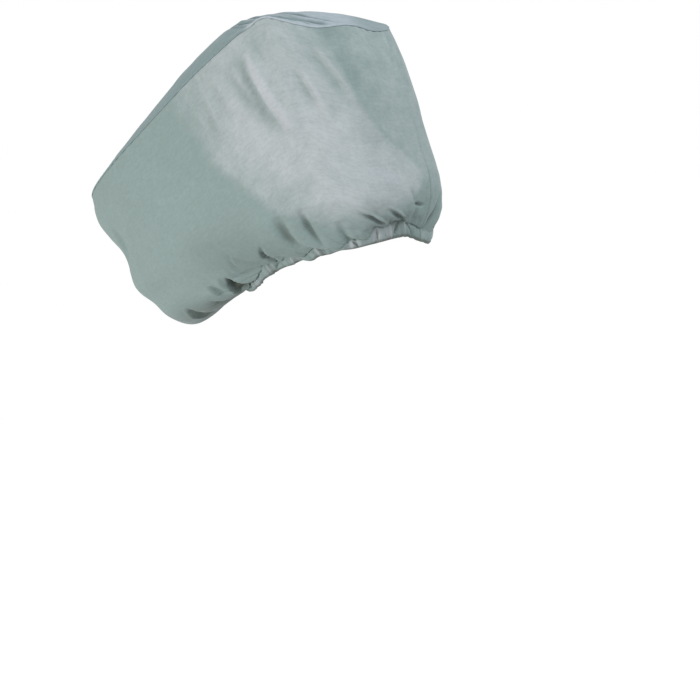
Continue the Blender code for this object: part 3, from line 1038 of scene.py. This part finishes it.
    def ruffles(self, around: Array, level: Array, pinches: Iterable[Pinch]) -> Array:
        """Small upright ruffles of the casing, tallest where the elastic bunches it.

        Args:
            around: shares of the girth.
            level: levels on the wall.
            pinches: where the elastic bunches the casing.

        Returns:
            Their height in metres.
        """
        total = 0.0007 * np.sin(2 * pi * 61 * around + 2.2 * np.sin(2 * pi * 7 * around))
        for k, pinch in enumerate(pinches):
            away = near(around, pinch.around) * self.hem_girth
            pitch = 0.0165 + 0.0025 * sin(2.4 * k)
            phase = 0.5 * sin(1.9 * k) + 1.5 * sin(2.7 * k) * (level - 2.5)
            ripple = np.cos(2 * pi * away / pitch + phase) + 0.35
            total = total + 1.15 * pinch.ruffle * ripple * hump(away, 0.0095)
        calm = soften(np.abs(near(around, 0.075)), 0.020, 0.045)
        return total * (0.15 + 0.85 * calm)

    def lifted(self, around: Array, level: Array, pinches: Iterable[Pinch]) -> Array:
        """How far the top seam and the casing are lifted.

        Args:
            around: shares of the girth.
            level: levels on the wall.
            pinches: where the elastic bunches the casing.

        Returns:
            Metres, upwards.
        """
        lift = sum(pinch.lift * hump(near(around, pinch.around), 0.0105) for pinch in pinches)
        sag = 0.0018 * np.sin(2 * pi * 19 * around + 3 * np.sin(2 * pi * 5 * around))
        here = unrolled(around, QUARTER)
        sag = sag * soften(np.abs(here - 0.815), 0.19, 0.23)
        lift = lift + sag
        edge = 0.45 * lift + 0.3 * sag + self.casing_edge.at(here)
        lift = lift + self.casing_top.at(here)
        top = lift * soften(level, 1.62, 2.0) + self.form.seam_stir(around) * soften(level, 0.30, 0.0)
        return np.where(level <= 2, top, edge + (lift - edge) * np.abs(3 - level) * (level < 3))

    def seam_relief(self, around: Array, level: Array) -> Array:
        """The rolled seam edge and its puckers, and the closing seam's lap.

        Args:
            around: shares of the girth.
            level: levels on the wall.

        Returns:
            Metres, outwards.
        """
        down = level * self.upper_drop
        roll = -0.0004 * hump(down, 0.0018) + 0.0005 * soften(down, 0.011, 0.007)
        pucker = np.sin(2 * pi * 83 * around + 2.6 * np.sin(2 * pi * 11 * around))
        pucker = np.maximum(pucker, -0.3) * (0.6 + 0.4 * np.sin(2 * pi * 9 * around + 1.0))
        roll = roll - 0.0016 * pucker * hump(down - 0.012, 0.012)
        away = near(around, CLOSING_SEAM) * self.girth
        lap = 0.0010 * (soften(away + self.seam_lap, -0.0015, 0.0015) - soften(away, 0.0, 0.0015))
        groove = -0.0022 * hump(away - self.groove_away, 0.0022)
        return roll + (lap + groove) * np.where(level < 3, 1.0, 0.0) * soften(level, 0.0, 0.02)

    def painted_light_share(self, around: Array, level: Array) -> Array:
        """Painted light: how much of the lighter colour is painted on, mostly on its port quarter.

        Args:
            around: shares of the girth.
            level: levels on the wall.

        Returns:
            The share of the painted light, about 0 to 1.
        """
        here = unrolled(around, QUARTER)
        inside = here - self.lit_edge_bowward.at(level)
        port = 0.56 * soften(inside, -0.010, 0.012) + 0.44 * soften(inside, 0.008, 0.065)
        inside = self.lit_edge_sternward.at(level) - here
        port = port * (0.70 * soften(inside, -0.007, 0.010) + 0.30 * soften(inside, 0.0, 0.050))
        port = port * (1 - 0.62 * soften(level, 1.10, 1.80)) * (0.74 + 0.26 * soften(level, 0.05, 0.6))
        # A lighter patch at starboard.
        star = soften(np.abs(near(around, 0.24)), 0.12, 0.03) * soften(level, 1.2, 0.5)
        # Painted shade in the long folds' troughs and painted highlight on their proud sides.
        fold_shading = self.folded(around, level)
        fold_shading = 0.35 * soften(-fold_shading, 0.0004, 0.0032) - 0.34 * soften(fold_shading, 0.0010, 0.0080)
        # Painted light on the stern face.
        stern = 0.42 * soften(np.abs(near(around, 0.03)), 0.11, 0.04) * soften(level, 1.7, 1.0)
        return np.maximum(np.maximum(0.80 * port, 0.45 * star), stern) + fold_shading * (0.3 + 0.7 * port)

    @cached_property
    def hung(self) -> Sheet:
        """Work out where every cell of the wall's cloth hangs.

        Returns:
            The sheet of cells, with their places on the flat cloth and their marks.
        """
        around, level = np.meshgrid(self.around, self.levels)
        pinches = list(self.pinches) + self.spread[1]
        gathers = self.gathered(around, level)
        facing = self.form.wall_facing(around, level)
        turned = np.clip((level - 2.9) / 0.2, 0.0, 1.0)
        stand = self.relief(around, level, gathers) - self.form.casing_depth * turned
        places = self.form.wall(around, level) + facing * stand[..., None]
        places[..., 2] += self.lifted(around, level, pinches)

        fine = sum(w.at(around * self.girth, level * self.drop, self.girth) for w in self.slack)
        fine = fine * soften(level, 0.0, 0.12) * soften(level, 2.0, 1.75) + self.seam_relief(around, level)
        casing = soften(level, 1.93, 2.12) * self.ruffles(around, level, pinches)
        casing = casing + self.casing_round * np.sin(pi * np.clip(level - 2, 0, 1))
        casing = casing - self.stitch_draw * hump(level - 2.08, 0.07)
        slits = sum(slit.depth_at(around, level, self.hem_girth, self.form.casing) for slit in self.slits)
        casing = casing - slits
        on_casing = soften(level, 1.9, 2.05)[..., None]
        ways = unit(facings(places) * (1 - on_casing) + self.form.hem_facing(around) * on_casing)
        places = places + ways * (fine + casing)[..., None] - np.array(self.form.origin)
        places[:, -1] = places[:, 0]

        cloth = np.stack([around * self.flat[0], lengths(places, 0)], axis=-1)
        # Painted shade: the fold mark darkens the gathers' troughs, the bow pocket, the creases across the
        # casing and the places that shaded gives.
        fold = 0.62 * soften(gathers, 0.0035, 0.012) * soften(level, 0.95, 1.30) * soften(level, 2.4, 2.0)
        fold = np.maximum(fold, self.pocket.share_at(around, level, self.girth, self.drop))
        fold = np.maximum(fold, 0.75 * soften(slits, 0.0010, 0.0032))
        bunched = sum(hump(near(around, pinch.around), 0.010) for pinch in pinches)
        # Painted light: the lit patches, and painted highlight along the casing, strongest where the elastic
        # bunches its ruffles.
        painted_light = self.painted_light_share(around, level) + (0.14 + 0.38 * bunched) * soften(level, 2.05, 2.3)
        marks = {"painted_light": painted_light, "fold": np.maximum(fold, self.shaded(around, level))}
        return Sheet("wall_cloth", places, cloth, marks)

    def shaded(self, around: Array, level: Array) -> Array:
        """Painted shade: how much dark colour is painted under the bow, on the hem's edge, in the seam's
        groove and low at port.

        Args:
            around: shares of the girth.
            level: levels on the wall.

        Returns:
            The share of the painted shade colour.
        """
        under = soften(np.abs(near(around, 0.600)), 0.075, 0.02) * soften(level, 1.35, 1.75)
        edge = 0.72 * soften(level, 2.74, 2.95)
        away = near(around, CLOSING_SEAM) * self.girth - self.groove_away
        seam = 0.40 * hump(away, 0.0024) * soften(level, 0.8, 1.2)
        low = 0.17 * soften(np.abs(near(around, 0.765)), 0.070, 0.025) * soften(level, 0.80, 1.10)
        shade = np.maximum(0.60 * under, low) * soften(level, 2.6, 2.0)
        return np.maximum(np.maximum(shade, edge), seam)

    def build(self) -> bpy.types.Object:
        """Hang the wall's cloth and dress it.

        Returns:
            The piece.
        """
        piece = self.hung.lay(self.thickness)
        piece.data.materials.append(self.finish.material("wall_cloth_painted_light_and_shade"))
        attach(piece, "root")
        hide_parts("side_wall")
        return piece

    def stitch_line(self) -> tuple[Array, Array]:
        """Points of the row of stitches that holds the casing, and the outward directions there."""
        row = int(np.argmin(np.abs(self.levels - self.stitch_level)))
        return self.hung.places[row], facings(self.hung.places)[row]


@dataclass
class TopPanel:
    """The top panel: one crowned cut piece, gathered a little at its stern corners."""

    form: CoverForm
    columns: int = 400
    thickness: float = 0.0007
    girth: float = 1.8  # round its seam
    reach: float = 0.22  # from its middle to its seam
    flat: tuple[float, float] = (0.82, 0.42)
    flat_area: float = 0.285
    # The cloth's own colour, a lighter copy painted as light on the slope to the stern, and a dark colour
    # painted as shade in the folds.
    finish: WovenCloth = WovenCloth(
        base_tone=(0.142, 0.196, 0.200, 1.0), painted_lit_tone=(0.290, 0.330, 0.358, 1.0), deep=(0.05, 0.075, 0.085, 1.0)
    )
    folds: tuple[Fold, ...] = (
        Gather(0.850, 0.60, 0.872, 1.0, 0.0022, 0.017),
        Gather(0.880, 0.50, 0.905, 1.0, 0.0030, 0.014, Fall.LAPPED),
        Gather(0.905, 0.50, 0.932, 1.0, 0.0035, 0.014, Fall.LAPPED),
        Gather(0.932, 0.50, 0.960, 1.0, 0.0030, 0.013, Fall.LAPPED),
        Gather(0.965, 0.55, 0.990, 1.0, 0.0025, 0.013, Fall.LAPPED),
        Gather(0.330, 0.50, 0.350, 1.0, 0.0025, 0.024),
        Gather(0.140, 0.55, 0.120, 1.0, 0.0030, 0.020, Fall.LAPPED, -1.0),
    )
    slack: tuple[Wrinkles, ...] = (Wrinkles(0.0009, 0.30, 0.10, 5), Wrinkles(0.0003, 0.080, 0.030, 17))
    # Turned rim at the seam: how far out and how far down its rows lie, from the lowest.
    lip: tuple[tuple[float, float], ...] = ((0.0002, 0.0026), (0.0005, 0.0016), (0.0005, 0.0006))
    fine_gathers: int = 17
    lit_edge: tuple[float, float] = (0.743, 0.669)  # level direction square to the port edge of the painted light

    @cached_property
    def outs(self) -> Array:
        """Rings of the panel, closer together towards the seam."""
        return 1 - np.linspace(0.0, 1.0, 46) ** 1.7

    def relief(self, around: Array, out: Array) -> tuple[Array, Array]:
        """How far the cloth stands out from its form.

        Args:
            around: shares of the girth.
            out: how far out the places lie.

        Returns:
            The height in metres, and the depth of the folds in it.
        """
        slack = 0.0020 * np.sin(4 * pi * around + 4 * out) * np.sin(pi * out)
        turn = self.girth * np.maximum(out, 0.05)
        depth = sum(fold.depth_at(around, out, turn, self.reach) for fold in self.folds)
        fine = 0.0
        for k in range(self.fine_gathers):
            end = 0.884 + 0.0078 * k + 0.0018 * sin(2.3 * k)
            depth_here, start = 0.0026 + 0.0012 * sin(2.7 * k), 0.56 + 0.10 * sin(1.9 * k)
            shape = Gather(end - 0.004, start, end, 1.0, depth_here, 0.0052, Fall.LAPPED, keeps=0.7)
            fine = fine + shape.depth_at(around, out, turn, self.reach)
        depth = (depth + fine) * np.minimum(1.0, 12 * (1 - out))
        return slack - depth, depth

    def build(self) -> bpy.types.Object:
        """Lay the top panel's cloth and dress it.

        Returns:
            The piece.
        """
        columns = np.linspace(CLOSING_SEAM, CLOSING_SEAM + 1, self.columns + 1)
        around, out = np.meshgrid(columns, self.outs)
        places = self.form.top(around, out)
        height, depth = self.relief(around, out)
        in_from_seam = (1 - out) * 0.2
        pucker = np.sin(2 * pi * 79 * around + 2.4 * np.sin(2 * pi * 8 * around))
        pucker = pucker * (0.6 + 0.4 * np.sin(2 * pi * 6 * around + 2.0))
        pucker = 0.0007 * pucker * hump(in_from_seam - 0.010, 0.009)
        slack = sum(w.at(places[..., 0], places[..., 1]) for w in self.slack)
        slack = slack * soften(1 - out, 0.0, 0.15)
        places[..., 2] += height - pucker + slack + self.form.seam_stir(around) * out**5
        places[-1] = places[-1].mean(axis=0)
        rim = self.form.seam
        run = rim.at(around[0] + 0.004) - rim.at(around[0] - 0.004)
        outward = unit(np.stack([run[:, 1], -run[:, 0], 0 * run[:, 0]], axis=-1))
        places[0] += outward * 0.0003
        lip = [places[0] + outward * stand + np.array([0.0, 0.0, -drop]) for stand, drop in self.lip]
        places = np.concatenate([np.stack(lip), places]) - np.array(self.form.origin)
        depth = np.concatenate([depth[:1]] * len(lip) + [depth])
        places[:, -1] = places[:, 0]

        cloth = places[..., :2] * np.array([1.0, 1.06])
        # Painted light on the stern slope, and painted shade in the folds' troughs.
        marks = {"painted_light": self.painted_light_share(places, depth), "fold": soften(depth, 0.0022, 0.0065) * 0.5}
        piece = Sheet("top_cloth", places, cloth, marks).lay(self.thickness, centre_shared=True)
        piece.data.materials.append(self.finish.material("top_cloth_painted_light_and_shade"))
        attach(piece, "root")
        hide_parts("top_panel")
        return piece

    def painted_light_share(self, places: Array, depth: Array) -> Array:
        """Painted light: how much of the lighter colour is painted on, most on the slope to the stern.

        Args:
            places: points of the cloth.
            depth: depth of the folds there.

        Returns:
            The share of the painted light, about 0 to 1.
        """
        x, y = places[..., 0], places[..., 1]
        across = self.lit_edge[0] * x + self.lit_edge[1] * y
        ragged = x + 0.014 * np.sin(31 * y + 0.6) + 0.008 * np.sin(74 * y)
        mask = 0.55 * soften(ragged, -0.02, 0.05) + 0.45 * soften(ragged, 0.0, 0.12)
        mask = mask * soften(across, -0.060, -0.035) * (0.90 - 0.50 * soften(across, 0.125, 0.165))
        # Painted shade in the folds' troughs and painted highlight on their proud sides.
        fold_shading = 0.30 * soften(-depth, 0.0002, 0.0014) - 0.85 * soften(depth, 0.0006, 0.0030)
        return mask + fold_shading * (0.2 + 0.8 * mask)


@dataclass
class Stitching:
    """A row of lockstitches, one stitch modelled and copied along the cloth."""

    length: float = 0.0032
    pitch: float = 0.0042
    thread: float = 0.0006
    finish: SewingThread = SewingThread()

    def one_stitch(self) -> tuple[Array, list[tuple[int, ...]]]:
        """Model one stitch, lying along X with its ends sunk in the cloth.

        Returns:
            Its corners, and its faces as corner numbers.
        """
        bpy.ops.object.select_all(action="DESELECT")
        bpy.ops.mesh.primitive_cylinder_add(
            vertices=6,
            radius=self.thread / 2,
            depth=self.length,
            end_fill_type="TRIFAN",
            rotation=(0.0, pi / 2, 0.0),
        )
        piece = bpy.context.active_object
        bpy.ops.object.transform_apply(location=True, rotation=True, scale=True)
        bpy.ops.object.mode_set(mode="EDIT")
        for place in (-self.length / 4, self.length / 4):
            bpy.ops.mesh.select_all(action="SELECT")
            bpy.ops.mesh.bisect(plane_co=(place, 0, 0), plane_no=(1, 0, 0))
        bpy.ops.object.mode_set(mode="OBJECT")
        for corner in piece.data.vertices:
            share = abs(corner.co.x) / (self.length / 2)
            corner.co.z -= 1.1 * self.thread * share**2
            corner.co.y *= 1 - 0.3 * share
        corners = np.array([corner.co[:] for corner in piece.data.vertices])
        faces = [tuple(face.vertices) for face in piece.data.polygons]
        bpy.data.objects.remove(piece)
        return corners, faces

    def sew(self, name: str, line: Array, facing: Array) -> bpy.types.Object:
        """Lay stitches along a line of the cloth.

        Args:
            name: the piece's name.
            line: points of the line, the last the same as the first where it is closed.
            facing: outward directions at those points.

        Returns:
            The piece.
        """
        corners, faces = self.one_stitch()
        far = lengths(line[:, None], 0)[:, 0]
        centres = np.arange(self.pitch / 2, far[-1] - self.pitch / 4, self.pitch)
        all_corners, all_faces = [], []
        for k, centre in enumerate(centres):
            spot, head, tail = (
                np.array([np.interp(centre + shift, far, line[:, axis]) for axis in range(3)])
                for shift in (0.0, self.length / 2, -self.length / 2)
            )
            along = unit(head - tail)
            out = np.array([np.interp(centre, far, facing[:, axis]) for axis in range(3)])
            out = unit(out - along * (out @ along))
            side = np.cross(out, along)
            basis = np.stack([along, side, out])
            all_corners.append(spot + out * 0.35 * self.thread + corners @ basis)
            all_faces += [tuple(v + k * len(corners) for v in face) for face in faces]
        mesh = bpy.data.meshes.new(name)
        mesh.from_pydata(np.concatenate(all_corners).tolist(), [], all_faces)
        mesh.shade_smooth()
        piece = bpy.data.objects.new(name, mesh)
        bpy.context.scene.collection.objects.link(piece)
        mesh.materials.append(self.finish.material(name + "_thread"))
        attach(piece, "root")
        return piece


# The studio.


@dataclass(frozen=True)
class Lamp:
    """Soft square lamp: its direction and distance from the cover, its side, watts and tint."""

    name: str
    toward: Triple
    far: float
    size: float
    power: float
    tint: Triple

    def hang(self, subject: Vector) -> bpy.types.Object:
        """Hang the lamp so that it faces the cover.

        Args:
            subject: the cover's middle.

        Returns:
            The lamp.
        """
        data = bpy.data.lights.new(self.name, "AREA")
        data.size = self.size
        data.energy = self.power
        data.color = self.tint
        lamp = bpy.data.objects.new(self.name, data)
        bpy.context.scene.collection.objects.link(lamp)
        way = Vector(self.toward).normalized()
        lamp.location = subject + way * self.far
        lamp.rotation_euler = way.to_track_quat("Z", "Y").to_euler()
        return lamp


@dataclass
class Studio:
    """Pale floor, soft light and the camera."""

    floor_level: float = -1.45
    floor_size: float = 60.0
    paper: Colour = (0.97, 0.97, 0.97, 1.0)
    paper_glow: float = 0.4
    glow: float = 0.72
    lamps: tuple[Lamp, ...] = (
        Lamp("key", (-0.25, -0.96, -0.04), far=3.2, size=0.8, power=82.0, tint=(1.0, 0.985, 0.965)),
        Lamp("sky", (0.90, 0.00, 0.45), far=3.4, size=2.2, power=92.0, tint=(0.88, 0.96, 1.0)),
    )
    subject: Triple = (-0.13708, 0.0, -0.26282)
    azimuth: float = 42.0
    elevation: float = -2.0
    roll: float = 19.5
    distance: float = 5.0
    aim: tuple[float, float] = (0.0428, -0.3878)
    lens: float = 133.2

    def lay_floor(self) -> bpy.types.Object:
        """Lay the studio's pale floor.

        Returns:
            The floor.
        """
        bpy.ops.object.select_all(action="DESELECT")
        bpy.ops.mesh.primitive_plane_add(size=self.floor_size, location=(0.0, 0.0, self.floor_level))
        floor = bpy.context.active_object
        floor.name = "studio_floor"
        board = NodeBoard("studio_paper")
        board.finish(Base_Color=self.paper, Roughness=0.95, Specular_IOR_Level=0.0)
        board.finish(Emission_Color=self.paper, Emission_Strength=self.paper_glow)
        floor.data.materials.append(board.material)
        floor.visible_diffuse = False
        return floor

    def light(self) -> None:
        """Set the soft glow all round and the lamps."""
        world = bpy.data.worlds.new("studio_glow")
        world.use_nodes = True
        back = world.node_tree.nodes["Background"]
        back.inputs["Color"].default_value = (1.0, 1.0, 1.0, 1.0)
        seen = world.node_tree.nodes.new("ShaderNodeLightPath").outputs["Is Camera Ray"]
        share = world.node_tree.nodes.new("ShaderNodeMapRange")
        share.inputs["To Min"].default_value = self.glow
        share.inputs["To Max"].default_value = 1.0
        world.node_tree.links.new(seen, share.inputs["Value"])
        world.node_tree.links.new(share.outputs[0], back.inputs["Strength"])
        bpy.context.scene.world = world
        for lamp in self.lamps:
            lamp.hang(Vector(self.subject))

    def set_camera(self) -> bpy.types.Object:
        """Stand the camera at its place, rolled as the motor is tilted.

        Returns:
            The camera.
        """
        turned, raised, rolled = radians(self.azimuth), radians(self.elevation), radians(self.roll)
        right = Vector((cos(turned), sin(turned), 0.0))
        up = Vector((-sin(turned) * sin(raised), cos(turned) * sin(raised), cos(raised)))
        ahead = Vector((-sin(turned) * cos(raised), cos(turned) * cos(raised), -sin(raised)))
        place = Vector(self.subject) - ahead * self.distance
        aim = Vector(self.subject) + right * self.aim[0] + up * self.aim[1]
        look = (aim - place).normalized()
        top = right * sin(rolled) + up * cos(rolled)
        top = (top - look * top.dot(look)).normalized()
        side = look.cross(top)
        data = bpy.data.cameras.new("camera")
        data.lens = self.lens
        data.clip_end = 200.0
        camera = bpy.data.objects.new("camera", data)
        bpy.context.scene.collection.objects.link(camera)
        turn = Matrix((side, top, -look)).transposed()
        camera.matrix_world = Matrix.Translation(place) @ turn.to_4x4()
        bpy.context.scene.camera = camera
        return camera


def main() -> None:
    """Set up the studio, then make the wall, its stitching and the top panel."""
    logging.basicConfig(level=logging.INFO, format="%(message)s")
    bpy.context.scene.view_settings.view_transform = "Standard"
    studio = Studio()
    studio.set_camera()
    studio.lay_floor()
    studio.light()
    form = CoverForm()
    wall = Wall(form)
    wall_cloth = wall.build()
    thread = Stitching().sew("casing_stitches", *wall.stitch_line())
    top = TopPanel(form)
    top_cloth = top.build()
    for piece in (wall_cloth, thread, top_cloth):
        LOG.info("%s: %d faces", piece.name, len(piece.data.polygons))


if __name__ == "__main__":
    main()
